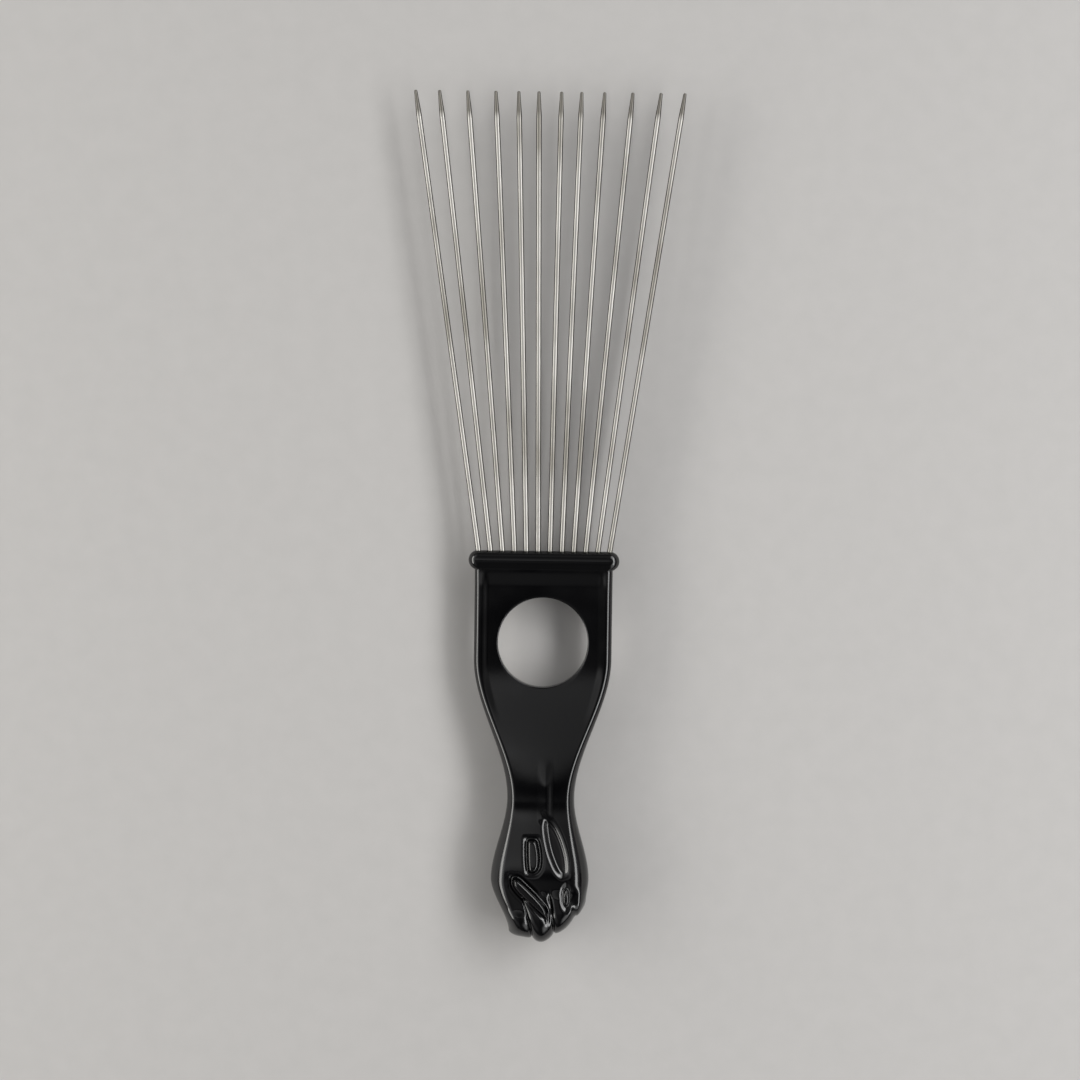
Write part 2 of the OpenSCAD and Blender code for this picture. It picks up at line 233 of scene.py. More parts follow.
class Finishes(bpy.types.PropertyGroup):
    """Colours of the pick and of the surface it lies on."""

    plastic: colour("Plastic", "#020203", "Black of the moulded handle")
    scuffed: colour("Scuffed plastic", "#0a0a0b", "Black where the gloss is rubbed")
    plating: colour("Plating", "#bcbab5", "Bright nickel plating of the tines")
    dull_plating: colour("Dull plating", "#918e87", "Plating that handling has dulled")
    ground_steel: colour("Ground steel", "#7b7872", "Steel bared where the points are ground")
    wall: colour("Wall", "#9e9c99", "Plain wall past the floor")
    floor: colour("Floor", "#b7b5b3", "Pale floor under the pick")


class StudioSettings(bpy.types.PropertyGroup):
    """Camera and light of the studio."""

    lens: FloatProperty(name="Lens", description="Focal length in millimetres", default=85,
                        min=10, unit="CAMERA")
    camera_distance: length("Camera distance", 719, "Distance from the camera to the pick")
    camera_tilt: FloatProperty(name="Camera tilt", description="Lean of the view to the tips",
                               default=math.radians(3.1), subtype="ANGLE", unit="ROTATION")
    camera_turn: FloatProperty(name="Camera turn", description="Turn of the picture",
                               default=math.radians(0.777), subtype="ANGLE", unit="ROTATION")
    light_distance: length("Light distance", 700, "Distance from the strips to the pick")
    strip_power: FloatProperty(name="Strip lights", description="Power of each strip light",
                               default=3.4, min=0, unit="POWER")
    dome: FloatProperty(name="Dome", description="Brightness of the dome round the studio",
                        default=4, min=0)


class PickSettings(bpy.types.PropertyGroup):
    """Everything that can be set on the pick."""

    handle: PointerProperty(type=HandleSizes)
    tines: PointerProperty(type=TineSizes)
    finishes: PointerProperty(type=Finishes)
    studio: PointerProperty(type=StudioSettings)


def ease(share):
    """A soft step from 0 to 1."""
    s = max(0.0, min(1.0, share))
    return s * s * (3 - 2 * s)


def blend(a, b, share):
    """The value that share of the way from a to b."""
    return a + (b - a) * share


def ease_between(a, b, drop, start, end):
    """A soft change from a to b as drop goes from start to end."""
    return blend(a, b, ease((drop - start) / (end - start)))


def dome(share):
    """Height of a round of radius 1 at that share of its radius."""
    return math.sqrt(max(0.0, 1 - share * share))


def soft_max(a, b, fillet):
    """The larger of two heights, with a fillet where they cross."""
    if fillet <= 0:
        return max(a, b)
    near = max(0.0, fillet - abs(a - b)) / fillet
    return max(a, b) + near * near * fillet / 4


def join(a, b):
    """Forms that meet: the higher one stands, and between them lies the deeper crease."""
    return max(a, b) if a > 0 or b > 0 else min(a, b)


def lookup(value, pairs):
    """Value between the nearest two pairs of a table."""
    for (x0, y0), (x1, y1) in zip(pairs, pairs[1:]):
        if value <= x1:
            return blend(y0, y1, max(0.0, (value - x0) / (x1 - x0)))
    return pairs[-1][1]


def along(place, start, end):
    """Share of the way from start to end at which a place lies."""
    run = end - start
    return max(0.0, min(1.0, (place - start).dot(run) / run.dot(run)))


def off_line(place, start, end):
    """Distance of a place from the line between start and end."""
    return (place - start.lerp(end, along(place, start, end))).length


class HandleForm:
    """Shape of the moulded handle, as heights of its two faces over the parting plane."""

    def __init__(self, sizes):
        # A plain copy, because a panel setting is slow to read
        self.s = SimpleNamespace(**{name: getattr(sizes, name) for name in sizes.__annotations__})
        s = self.s
        self.collar_r = s.collar_d / 2
        self.bead_middle = s.plate_w / 2 + s.collar_overhang - self.collar_r
        self.opening_r = s.opening_d / 2
        self.half_fist = s.fist_w / 2
        self.fist_len = s.handle_len - s.wrist_drop
        turns = [math.tau * n / RING_TIP_SIDES for n in range(RING_TIP_SIDES)]
        oval = [(RING_TIP_SHARE[0] + RING_TIP_SIZE_SHARE[0] * math.cos(turn),
                 RING_TIP_SHARE[1] + RING_TIP_SIZE_SHARE[1] * math.sin(turn)) for turn in turns]
        # Each form of the palm: its outline's sides and how far it stands above the palm
        self.forms = [(self.sides_of(THUMB_SHARES), s.thumb_rise),
                      (self.sides_of(BALL_SHARES), s.ball_rise),
                      (self.sides_of(oval), s.finger_rise / 2),
                      (self.sides_of(HOLLOW_SHARES), -s.hollow_depth)]
        self.tendon_start = self.on_fist(TENDON_START_SHARE)
        self.tendon_end = self.on_fist(HOLLOW_SHARES[0])
        self.rows = self.plan_rows()
        self.last_row = len(self.rows) - 1
        self.columns = 2 * EDGE_COLUMNS + MIDDLE_COLUMNS
        self.middle_row = COLLAR_ROWS + FOOT_ROWS + OPENING_ROWS // 2
        self.middle_column = self.columns // 2

    def on_fist(self, shares):
        """A place on the fist, given as shares across and along."""
        return Vector((self.half_fist * shares[0],
                       self.s.wrist_drop + self.fist_len * shares[1]))

    def sides_of(self, outline):
        """The sides of an outline, each as a starting point and a direction."""
        corners = [self.on_fist(shares) for shares in outline]
        return [(start, (end - start).normalized())
                for start, end in zip(corners, corners[1:] + corners[:1])]

    def inset(self, place, sides):
        """How far a place lies inside an outline without hollows, with its corners rounded."""
        corner_r = self.s.corner_r
        nearness = sum(math.exp(min(EXP_LIMIT, ((place.x - start.x) * way.y
                                                - (place.y - start.y) * way.x) / corner_r))
                       for start, way in sides)
        return -corner_r * math.log(nearness)

    def plan_rows(self):
        """Each row's drop at the sides, its reach along the fingers and its rounding."""
        s = self.s
        zone = self.opening_r * OPENING_ZONE_SHARE
        stretches = ((self.collar_r, s.opening_drop - zone, FOOT_ROWS),
                     (s.opening_drop - zone, s.opening_drop + zone, OPENING_ROWS),
                     (s.opening_drop + zone, s.wrist_drop, WAIST_ROWS),
                     (s.wrist_drop, s.fist_drop, PALM_ROWS))
        rows = [(-self.collar_r * math.cos(math.pi * n / COLLAR_ROWS), 0, 1)
                for n in range(COLLAR_ROWS)]
        for start, end, count in stretches:
            rows += [(blend(start, end, n / count), 0, 1) for n in range(count)]
        rows += [(s.fist_drop, (1 - KNUCKLE_ROUND_SHARE) * n / FINGER_ROWS, 1)
                 for n in range(FINGER_ROWS)]
        for n in range(KNUCKLE_ROWS + 1):
            turn = math.pi / 2 * n / KNUCKLE_ROWS
            reach = 1 - KNUCKLE_ROUND_SHARE * (1 - math.sin(turn))
            rows.append((s.fist_drop, reach, math.cos(turn) if n < KNUCKLE_ROWS else 0))
        return rows

    def half_width(self, drop):
        """Half the width: straight plate, waisted wrist, then the fist."""
        s = self.s
        if drop < s.wrist_drop:
            return ease_between(s.plate_w / 2, s.wrist_w / 2, drop, s.plate_len, s.wrist_drop)
        return ease_between(s.wrist_w / 2, self.half_fist, drop, s.wrist_drop, s.fist_drop)

    def edge_round(self, drop):
        """How far in from the side the surface rounds off."""
        s = self.s
        if drop < s.wrist_drop:
            return ease_between(s.plate_edge_r, s.wrist_edge_r, drop, s.plate_len, s.wrist_drop)
        return ease_between(s.wrist_edge_r, s.fist_edge_r, drop, s.wrist_drop, s.fist_drop)

    def half_thickness(self, drop):
        """Half the thickness along the middle: slope from the collar, web, wrist and palm."""
        s = self.s
        if drop < s.foot_len:
            return ease_between(s.foot_t / 2, s.web_t / 2, drop, self.collar_r, s.foot_len)
        if drop < s.wrist_drop:
            return ease_between(s.web_t / 2, s.wrist_t / 2, drop, s.plate_len, s.wrist_drop)
        return ease_between(s.wrist_t / 2, s.fist_t / 2, drop, s.wrist_drop, s.fist_drop)

    def rim_height(self, gap, drop):
        """The raised rim along the plate's sides, which dies out towards the wrist."""
        s = self.s
        return ((s.rim_t - s.web_t) / 2
                * (1 - ease((gap - s.rim_w) / s.rim_w))
                * ease((drop - self.collar_r) / (s.foot_len - self.collar_r))
                * (1 - ease((drop - s.plate_len) / (s.wrist_drop - s.plate_len)
                            / RIM_END_SHARE)))

    def crown(self, share, drop):
        """Share of the thickness that the bulge across the wrist and palm leaves."""
        s = self.s
        rise = ease((drop - s.plate_len) / (s.wrist_drop - s.plate_len))
        return 1 - CROWN_SHARE * rise * share * share

    def finger(self, share):
        """Number of the finger at a share across the fist, and its rounded height there."""
        number = sum(share >= crease for crease in CREASE_SHARES[1:-1])
        low, high = CREASE_SHARES[number], CREASE_SHARES[number + 1]
        return number, dome((share * 2 - low - high) / (high - low))

    def curled(self, drop, number):
        """How far a finger has risen out of the palm: 0 before its tip, 1 past its curl."""
        s = self.s
        tip = s.wrist_drop + self.fist_len * FINGERTIP_SHARES[number]
        return ease((drop - tip) / s.curl_len)

    def knuckle_line(self, share):
        """Drop of the knuckle line at a share across the fist."""
        samples = [lookup(share + KNUCKLE_BLUR_SHARE * n, KNUCKLE_LINE_SHARES)
                   for n in (-2, -1, 0, 1, 2)]
        return (self.s.wrist_drop + self.fist_len * sum(samples) / len(samples)
                - self.s.notch_depth * (1 - self.finger(share)[1]))

    def form_height(self, inset, rise):
        """A form of the palm: the skin rolls over into a crease, then rises or sinks."""
        s = self.s
        if inset < 0:
            return -s.crease_depth * max(0.0, 1 + inset / s.crease_w) ** ROLL_POWER
        left = max(0.0, 1 - inset / s.form_round_w)
        return (rise + s.crease_depth) * (1 - left ** RISE_POWER) - s.crease_depth

    def palm_height(self, place):
        """The forms of the palm together: thumb, ball, fingertip and hollow."""
        if place.y < self.s.wrist_drop:
            return 0.0
        height = 0.0
        for sides, rise in self.forms:
            height = join(height, self.form_height(self.inset(place, sides), rise))
        return height

    def tendon_height(self, place):
        """The tendon down the wrist, which runs out at the hollow."""
        share = along(place, self.tendon_start, self.tendon_end)
        off = off_line(place, self.tendon_start, self.tendon_end)
        return (self.s.tendon_rise * ease(share / TENDON_RISE_SHARE)
                * ease(1 - off * 2 / self.s.tendon_w))

    def front_height(self, place, share, gap):
        """Height of the palm side over the parting plane."""
        s = self.s
        height = (self.half_thickness(place.y) * self.crown(share, place.y)
                  + self.rim_height(gap, place.y))
        if place.y < s.plate_len:
            return height
        number, rounded = self.finger(share)
        fingers = s.finger_rise * self.curled(place.y, number) * (rounded - 1 / 2)
        form = self.palm_height(place)
        height += max(fingers, form) if form > 0 else fingers + form
        return height + self.tendon_height(place)

    def back_depth(self, place, share, gap):
        """Depth of the back below the parting plane."""
        s = self.s
        depth = (self.half_thickness(place.y) * self.crown(share, place.y)
                 + self.rim_height(gap, place.y))
        if place.y < s.wrist_drop:
            return depth
        past = place.y - self.knuckle_line(share) + s.finger_back_len
        return depth - s.finger_rise * ease(past / s.curl_len) * (1 - self.finger(share)[1])

    def bead(self, across, drop):
        """Height of the collar, a round bar with round ends."""
        beyond = max(0.0, abs(across) - self.bead_middle)
        return math.sqrt(max(0.0, self.collar_r ** 2 - drop * drop - beyond * beyond))

    def outline(self, drop):
        """Half the width at the parting plane, and how far in the columns of the side reach."""
        half, edge = self.half_width(drop), self.edge_round(drop)
        if drop >= self.collar_r:
            return half, edge
        bead = self.bead(0, drop)
        if drop < 0:
            return self.bead_middle + bead, bead
        return (soft_max(self.bead_middle + bead, half, self.s.collar_fillet),
                blend(bead, edge, ease(drop / self.collar_r)))

    def level_place(self, drop, column):
        """A column's place at a drop, before the rows bend to the opening or the knuckles."""
        half, edge = self.outline(drop)
        n = min(column, self.columns - column)
        if n < EDGE_COLUMNS:
            side = -1 if column < self.middle_column else 1
            reach = half - edge * (1 - math.cos(math.pi / 2 * n / EDGE_COLUMNS))
            return Vector((side * reach, drop))
        share = (column - self.middle_column) / (MIDDLE_COLUMNS / 2)
        return Vector((share * (half - edge), drop))

    def block_size(self, row, column):
        """Steps from the opening's middle: 1 on the edge of the block that it replaces."""
        return max(abs(row - self.middle_row) / BLOCK_ROWS,
                   abs(column - self.middle_column) / BLOCK_COLUMNS)

    def round_place(self, down, over):
        """Place on the rounded edge of the opening for a point on the edge of its block."""
        if abs(over) >= abs(down):
            turn = math.pi / 4 * down / abs(over)
            way = Vector((math.copysign(math.cos(turn), over), math.sin(turn)))
        else:
            turn = math.pi / 4 * over / abs(down)
            way = Vector((math.sin(turn), math.copysign(math.cos(turn), down)))
        return (Vector((0, self.s.opening_drop))
                + way * (self.opening_r + self.s.opening_edge_r))

    def skin_place(self, row, column):
        """A place of the skin, with the rows and columns bent round the opening."""
        place = self.level_place(self.rows[row][0], column)
        size = self.block_size(row, column)
        if size == 0 or size >= ZONE_SIZE:
            return place
        down = (row - self.middle_row) / BLOCK_ROWS
        over = (column - self.middle_column) / BLOCK_COLUMNS
        step = self.rows[self.middle_row + 1][0] - self.rows[self.middle_row][0]
        edge_place = self.level_place(self.s.opening_drop + down / size * BLOCK_ROWS * step,
                                      self.middle_column + over / size * BLOCK_COLUMNS)
        share = min(1.0, (ZONE_SIZE - size) / (ZONE_SIZE - 1))
        return place + (self.round_place(down, over) - edge_place) * share

    def surface_place(self, row, column, side):
        """A point of the skin, on the palm side (side 1) or on the back (side -1).

        The skin's own edge lies in the parting plane, where the two sides close."""
        reach, rounding = self.rows[row][1:]
        place = self.skin_place(row, column)
        half = self.outline(place.y)[0]
        share = place.x / half
        gap = half - abs(place.x)
        edge = self.edge_round(place.y)
        if reach > 0:
            end = self.half_fist * blend(*KNUCKLE_ENDS_SHARE, (share + 1) / 2)
            sideways = blend(reach, ease(reach), SIDE_EASE_SHARE)
            place = Vector((blend(place.x, end, sideways),
                            blend(place.y, self.knuckle_line(share), reach)))
        body = 0.0
        if gap > 0 and place.y >= 0:
            height = self.front_height if side > 0 else self.back_depth
            body = height(place, share, gap) * dome(max(0.0, 1 - gap / edge)) * rounding
        if abs(place.y) < self.collar_r:
            bead = self.bead(place.x, place.y)
            body = soft_max(bead, body, min(self.s.collar_fillet, bead, body))
        if row in (0, self.last_row) or column in (0, self.columns):
            body = 0.0
        return place, side * body


def sweep_skin(bm, form, side, origin):
    """Adds one face of the handle and returns the edges round its opening."""
    grid = bmesh.ops.create_grid(bm, x_segments=form.columns, y_segments=form.last_row, size=1)
    size_at = {}
    for vert in grid["verts"]:
        column = round((vert.co.x + 1) / 2 * form.columns)
        row = round((1 - vert.co.y) / 2 * form.last_row)
        place, height = form.surface_place(row, column, side)
        vert.co = origin + Vector((place.x, -place.y, height))
        size_at[vert] = form.block_size(row, column)
    fist = [v for v in grid["verts"] if v.co.y < origin.y - form.s.wrist_drop
            and abs(v.co.z - origin.z) > form.s.crease_depth]
    for _ in range(SMOOTH_PASSES):
        bmesh.ops.smooth_vert(bm, verts=fist, factor=0.5, use_axis_z=True)
    block = {f for v in grid["verts"] for f in v.link_faces
             if all(size_at[w] <= 1 for w in f.verts)}
    bmesh.ops.delete(bm, geom=list(block), context="FACES")
    return [e for e in bm.edges if e.is_boundary and all(size_at.get(v) == 1 for v in e.verts)]


def round_opening(bm, loop, form, side, origin):
    """Rolls the skin's edge into the opening and returns the edges at the end of the round."""
    centre = origin + Vector((0, -form.s.opening_drop, 0))
    edge_r = form.s.opening_edge_r
    for n in range(OPENING_EDGE_STEPS):
        start = math.pi / 2 * n / OPENING_EDGE_STEPS
        end = math.pi / 2 * (n + 1) / OPENING_EDGE_STEPS
        made = bmesh.ops.extrude_edge_only(bm, edges=loop)["geom"]
        verts = {g for g in made if isinstance(g, bmesh.types.BMVert)}
        loop = [g for g in made if isinstance(g, bmesh.types.BMEdge)
                and all(v in verts for v in g.verts)]
        for vert in verts:
            way = (vert.co - centre).to_2d().normalized().to_3d()
            vert.co -= way * edge_r * (math.sin(end) - math.sin(start))
            vert.co.z -= side * edge_r * (math.cos(start) - math.cos(end))
    return loop


def finish_piece(bm, name, material, node):
    """Turns a bmesh into a closed, smooth piece that stands for a CAD node."""
    bmesh.ops.remove_doubles(bm, verts=bm.verts, dist=WELD_DISTANCE)
    bmesh.ops.dissolve_degenerate(bm, edges=bm.edges, dist=SLIVER)
    bmesh.ops.recalc_face_normals(bm, faces=bm.faces)
    for face in bm.faces:
        face.smooth = True
    mesh = bpy.data.meshes.new(name)
    bm.to_mesh(mesh)
    bm.free()
    mesh.materials.append(material)
    piece = bpy.data.objects.new(name, mesh)
    bpy.context.scene.collection.objects.link(piece)
    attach(piece, "root")
    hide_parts(node)


def add_node(tree, kind, inputs=None, links=None, **settings):
    """Adds a shader node with its settings, its input values and the outputs linked to it."""
    node = tree.nodes.new(kind)
    for name, value in settings.items():
        setattr(node, name, value)
    for name, value in (inputs or {}).items():
        node.inputs[name].default_value = value
    for name, output in (links or {}).items():
        tree.links.new(output, node.inputs[name])
    return node


def per(millimetres):
    """Pattern scale, in repeats per metre, for one repeat in that many millimetres."""
    return 1 / (millimetres * MM)


def new_tree(name):
    """A new material and its empty node tree."""
    material = bpy.data.materials.new(name)
    material.use_nodes = True
    material.node_tree.nodes.clear()
    return material, material.node_tree


def gloss_black_abs(finishes, parting_z):
    """ABS with carbon black, injection moulded in a polished tool: deep black, sharp glints.

    The gloss keeps a faint orange peel, drifts a little in sharpness where the melt cooled at
    another pace, carries a few hairlines from handling, and shows the tool's parting line."""
    material, tree = new_tree("gloss_black_abs")
    place = add_node(tree, "ShaderNodeTexCoord").outputs["Object"]
    drift = add_node(tree, "ShaderNodeTexNoise", {"Scale": per(14), "Detail": 2.0},
                     {"Vector": place})
    gloss = add_node(tree, "ShaderNodeMapRange",
                     {"From Min": 0.35, "From Max": 0.65, "To Min": 0.1, "To Max": 0.16},
                     {"Value": drift.outputs["Fac"]})
    # Hairlines are about 0.02 mm wide. They are drawn 0.15 mm wide so that they show.
    strokes = add_node(tree, "ShaderNodeMapping",
                       {"Rotation": (0, 0, math.radians(28)),
                        "Scale": (per(0.3), per(9), per(9))}, {"Vector": place})
    hairs = add_node(tree, "ShaderNodeTexNoise", {"Scale": 1.0, "Detail": 1.0},
                     {"Vector": strokes.outputs["Vector"]})
    scuffs = add_node(tree, "ShaderNodeMapRange",
                      {"From Min": 0.78, "From Max": 0.86, "To Max": 0.3},
                      {"Value": hairs.outputs["Fac"]})
    roughness = add_node(tree, "ShaderNodeMix", {"B": 0.3},
                         {"Factor": scuffs.outputs["Result"], "A": gloss.outputs["Result"]})
    tint = add_node(tree, "ShaderNodeMix",
                    {MIX_A: (*finishes.plastic, 1), MIX_B: (*finishes.scuffed, 1)},
                    {"Factor": scuffs.outputs["Result"]}, data_type="RGBA")
    # Orange peel is a few thousandths of a millimetre high and repeats every 1.6 mm
    peel = add_node(tree, "ShaderNodeTexNoise", {"Scale": per(1.6), "Detail": 1.0},
                    {"Vector": place})
    peeled = add_node(tree, "ShaderNodeBump", {"Distance": 0.004 * MM},
                      {"Height": peel.outputs["Fac"]})
    # The two halves of the tool leave a line 0.15 mm wide round the middle of the edge
    height = add_node(tree, "ShaderNodeSeparateXYZ", links={"Vector": place})
    from_parting = add_node(tree, "ShaderNodeMath", {1: parting_z}, {0: height.outputs["Z"]},
                            operation="SUBTRACT")
    distance = add_node(tree, "ShaderNodeMath", links={0: from_parting.outputs[0]},
                        operation="ABSOLUTE")
    line = add_node(tree, "ShaderNodeMapRange",
                    {"From Max": 0.075 * MM, "To Min": 1.0, "To Max": 0.0},
                    {"Value": distance.outputs[0]})
    lined = add_node(tree, "ShaderNodeBump", {"Distance": 0.03 * MM},
                     {"Height": line.outputs["Result"], "Normal": peeled.outputs["Normal"]})
    shader = add_node(tree, "ShaderNodeBsdfPrincipled", {"IOR": 1.54},
                      {"Base Color": tint.outputs[MIXED], "Roughness": roughness.outputs[0],
                       "Normal": lined.outputs["Normal"]})
    add_node(tree, "ShaderNodeOutputMaterial", links={"Surface": shader.outputs["BSDF"]})
    return material


def nickel_plated_wire(finishes, sizes):
    """Drawn spring steel wire with nickel plating: a satin shine with lengthwise streaks.

    Handling has dulled the plating in patches. The points are ground to bare steel, so they
    are greyer and carry fine rings. The "wire" map runs round and along, in metres."""
    material, tree = new_tree("nickel_plated_spring_steel")
    place = add_node(tree, "ShaderNodeTexCoord").outputs["Object"]
    wire = add_node(tree, "ShaderNodeUVMap", uv_map="wire").outputs["UV"]
    # Drawing streaks are about 0.05 mm apart and 15 mm long
    stretch = add_node(tree, "ShaderNodeMapping", {"Scale": (per(0.1), per(15), 1.0)},
                       {"Vector": wire})
    streaks = add_node(tree, "ShaderNodeTexNoise", {"Scale": 1.0, "Detail": 3.0},
                       {"Vector": stretch.outputs["Vector"]})
    patches = add_node(tree, "ShaderNodeTexNoise", {"Scale": per(22), "Detail": 2.0},
                       {"Vector": place})
    dulled = add_node(tree, "ShaderNodeMapRange", {"From Min": 0.42, "From Max": 0.68},
                      {"Value": patches.outputs["Fac"]})
    map_place = add_node(tree, "ShaderNodeSeparateXYZ", links={"Vector": wire})
    ground = add_node(tree, "ShaderNodeMapRange",
                      {"From Min": 0.8 * sizes.taper_len, "From Max": 1.1 * sizes.taper_len,
                       "To Min": 1.0, "To Max": 0.0},
                      {"Value": map_place.outputs["Y"]})
    plated = add_node(tree, "ShaderNodeMix",
                      {MIX_A: (*finishes.plating, 1), MIX_B: (*finishes.dull_plating, 1)},
                      {"Factor": dulled.outputs["Result"]}, data_type="RGBA")
    tint = add_node(tree, "ShaderNodeMix", {MIX_B: (*finishes.ground_steel, 1)},
                    {"Factor": ground.outputs["Result"], MIX_A: plated.outputs[MIXED]},
                    data_type="RGBA")
    sheen = add_node(tree, "ShaderNodeMapRange",
                     {"From Min": 0.3, "From Max": 0.7, "To Min": 0.46, "To Max": 0.54},
                     {"Value": streaks.outputs["Fac"]})
    roughness = add_node(tree, "ShaderNodeMix", {"B": 0.5},
                         {"Factor": ground.outputs["Result"], "A": sheen.outputs["Result"]})
    drawn = add_node(tree, "ShaderNodeBump", {"Distance": 0.002 * MM},
                     {"Height": streaks.outputs["Fac"]})
    # Grinding rings, 0.25 mm apart, show on the points alone
    rings = add_node(tree, "ShaderNodeTexNoise",
                     {"Scale": per(0.25), "Detail": 1.0}, {"W": map_place.outputs["Y"]},
                     noise_dimensions="1D")
    cut = add_node(tree, "ShaderNodeMath", links={0: rings.outputs["Fac"],
                                                  1: ground.outputs["Result"]},
                   operation="MULTIPLY")
    ringed = add_node(tree, "ShaderNodeBump", {"Distance": 0.01 * MM},
                      {"Height": cut.outputs[0], "Normal": drawn.outputs["Normal"]})
    # Painted shade: the base colour and the edge tint darken towards the wire's flanks, standing
    # in for the dark edges that the flanks reflect
    quarter = math.pi * sizes.wire_d / 4
    round_wire = add_node(tree, "ShaderNodeMath", links={0: map_place.outputs["X"]},
                          operation="ABSOLUTE")
    past_flank = add_node(tree, "ShaderNodeMath", {1: quarter}, {0: round_wire.outputs[0]},
                          operation="SUBTRACT")
    off_flank = add_node(tree, "ShaderNodeMath", links={0: past_flank.outputs[0]},
                         operation="ABSOLUTE")
    shade = add_node(tree, "ShaderNodeMapRange",
                     {"From Min": 0.45 * quarter, "From Max": 0.6 * quarter,
                      "To Min": 0.15, "To Max": 1.0},
                     {"Value": off_flank.outputs[0]})
    # The plating's colour times the painted shade of the flanks
    painted_shade_tint = add_node(tree, "ShaderNodeVectorMath", links={0: tint.outputs[MIXED],
                                                           1: shade.outputs["Result"]},
                      operation="MULTIPLY")
    shader = add_node(tree, "ShaderNodeBsdfPrincipled", {"Metallic": 1.0},
                      {"Base Color": painted_shade_tint.outputs["Vector"],
                       "Specular Tint": shade.outputs["Result"],
                       "Roughness": roughness.outputs[0], "Normal": ringed.outputs["Normal"]})
    add_node(tree, "ShaderNodeOutputMaterial", links={"Surface": shader.outputs["BSDF"]})
    return material


def matt_card(finishes):
    """Uncoated pale card: matt and even, with a faint mottle of the pulp."""
    material, tree = new_tree("matt_card")
    place = add_node(tree, "ShaderNodeTexCoord").outputs["Object"]
    pulp = add_node(tree, "ShaderNodeTexNoise", {"Scale": per(6), "Detail": 3.0},
                    {"Vector": place})
    mottle = add_node(tree, "ShaderNodeMapRange",
                      {"From Min": 0.3, "From Max": 0.7, "To Min": 0.97, "To Max": 1.0},
                      {"Value": pulp.outputs["Fac"]})
    tint = add_node(tree, "ShaderNodeVectorMath", {0: finishes.floor},
                    {1: mottle.outputs["Result"]}, operation="MULTIPLY")
    shader = add_node(tree, "ShaderNodeBsdfPrincipled",
                      {"Roughness": 0.75, "Specular IOR Level": 0.25},
                      {"Base Color": tint.outputs["Vector"]})
    add_node(tree, "ShaderNodeOutputMaterial", links={"Surface": shader.outputs["BSDF"]})
    return material


def handle_origin():
    """Middle of the collar's centre line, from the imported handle's box and sizes."""
    low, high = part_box("handle")
    sizes = bpy.context.scene.afro_pick.handle
    return Vector(((low.x + high.x) / 2, high.y - sizes.collar_d / 2, sizes.fist_t / 2))


class AFROPICK_OT_moulded_handle(bpy.types.Operator):
    """Makes the moulded handle, from the collar to the knuckles, as one closed skin"""

    bl_idname = "afro_pick.moulded_handle"
    bl_label = "Moulded Handle"

    def execute(self, context):
        settings = context.scene.afro_pick
        form, origin = HandleForm(settings.handle), handle_origin()
        bm = bmesh.new()
        rims = []
        for side in (1, -1):
            loop = sweep_skin(bm, form, side, origin)
            rims += round_opening(bm, loop, form, side, origin)
        bmesh.ops.bridge_loops(bm, edges=rims)
        material = gloss_black_abs(settings.finishes, origin.z)
        finish_piece(bm, "moulded_handle", material, "handle")
        return {"FINISHED"}


def tine_profile(sizes, reach):
    """Radius and place of each ring of a tine, from its buried end to its point."""
    wire_r, tip_r = sizes.wire_d / 2, sizes.tip_d / 2
    chamfer = wire_r * CHAMFER_SHARE
    shoulder = reach - sizes.taper_len
    rings = [(0, -sizes.tail_len), (wire_r - chamfer, -sizes.tail_len),
             (wire_r, -sizes.tail_len + chamfer)]
    rings += [(wire_r, -sizes.tail_len + sizes.anchor_len * n / ANCHOR_RINGS)
              for n in range(2, ANCHOR_RINGS * 3 // 2 + 1)]
    rings += [(wire_r, blend(0, shoulder, n / WIRE_RINGS)) for n in range(WIRE_RINGS + 1)]
    for n in range(1, TAPER_RINGS):
        share = n / TAPER_RINGS
        rings.append((blend(wire_r, tip_r, blend(share, ease(share), TAPER_EASE_SHARE)),
                      blend(shoulder, reach - tip_r, share)))
    turns = [math.pi / 2 * n / POINT_RINGS for n in range(POINT_RINGS)]
    rings += [(tip_r * math.cos(turn), reach - tip_r * (1 - math.sin(turn))) for turn in turns]
    return rings + [(0, reach)]


def flatten_anchor(bm, sizes):
    """Presses the buried end flat, so that it can't pull out of the plastic."""
    end = -sizes.tail_len + sizes.anchor_len
    for vert in bm.verts:
        share = ease((end - vert.co.y) / sizes.anchor_t)
        vert.co.x *= blend(1, sizes.anchor_w / sizes.wire_d, share)
        vert.co.z *= blend(1, sizes.anchor_t / sizes.wire_d, share)


def map_wire(bm, sizes, reach):
    """Unrolls a tine: round the wire by distance, and along it by distance from the point."""
    layer = bm.loops.layers.uv.new("wire")
    for face in bm.faces:
        middle = face.calc_center_median()
        turn = math.atan2(middle.x, -middle.z)
        for loop in face.loops:
            co = loop.vert.co
            on_axis = math.hypot(co.x, co.z) < WELD_DISTANCE
            own = turn if on_axis else math.atan2(co.x, -co.z)
            own += math.tau * round((turn - own) / math.tau)
            loop[layer].uv = (own * sizes.wire_d / 2, reach - co.y)


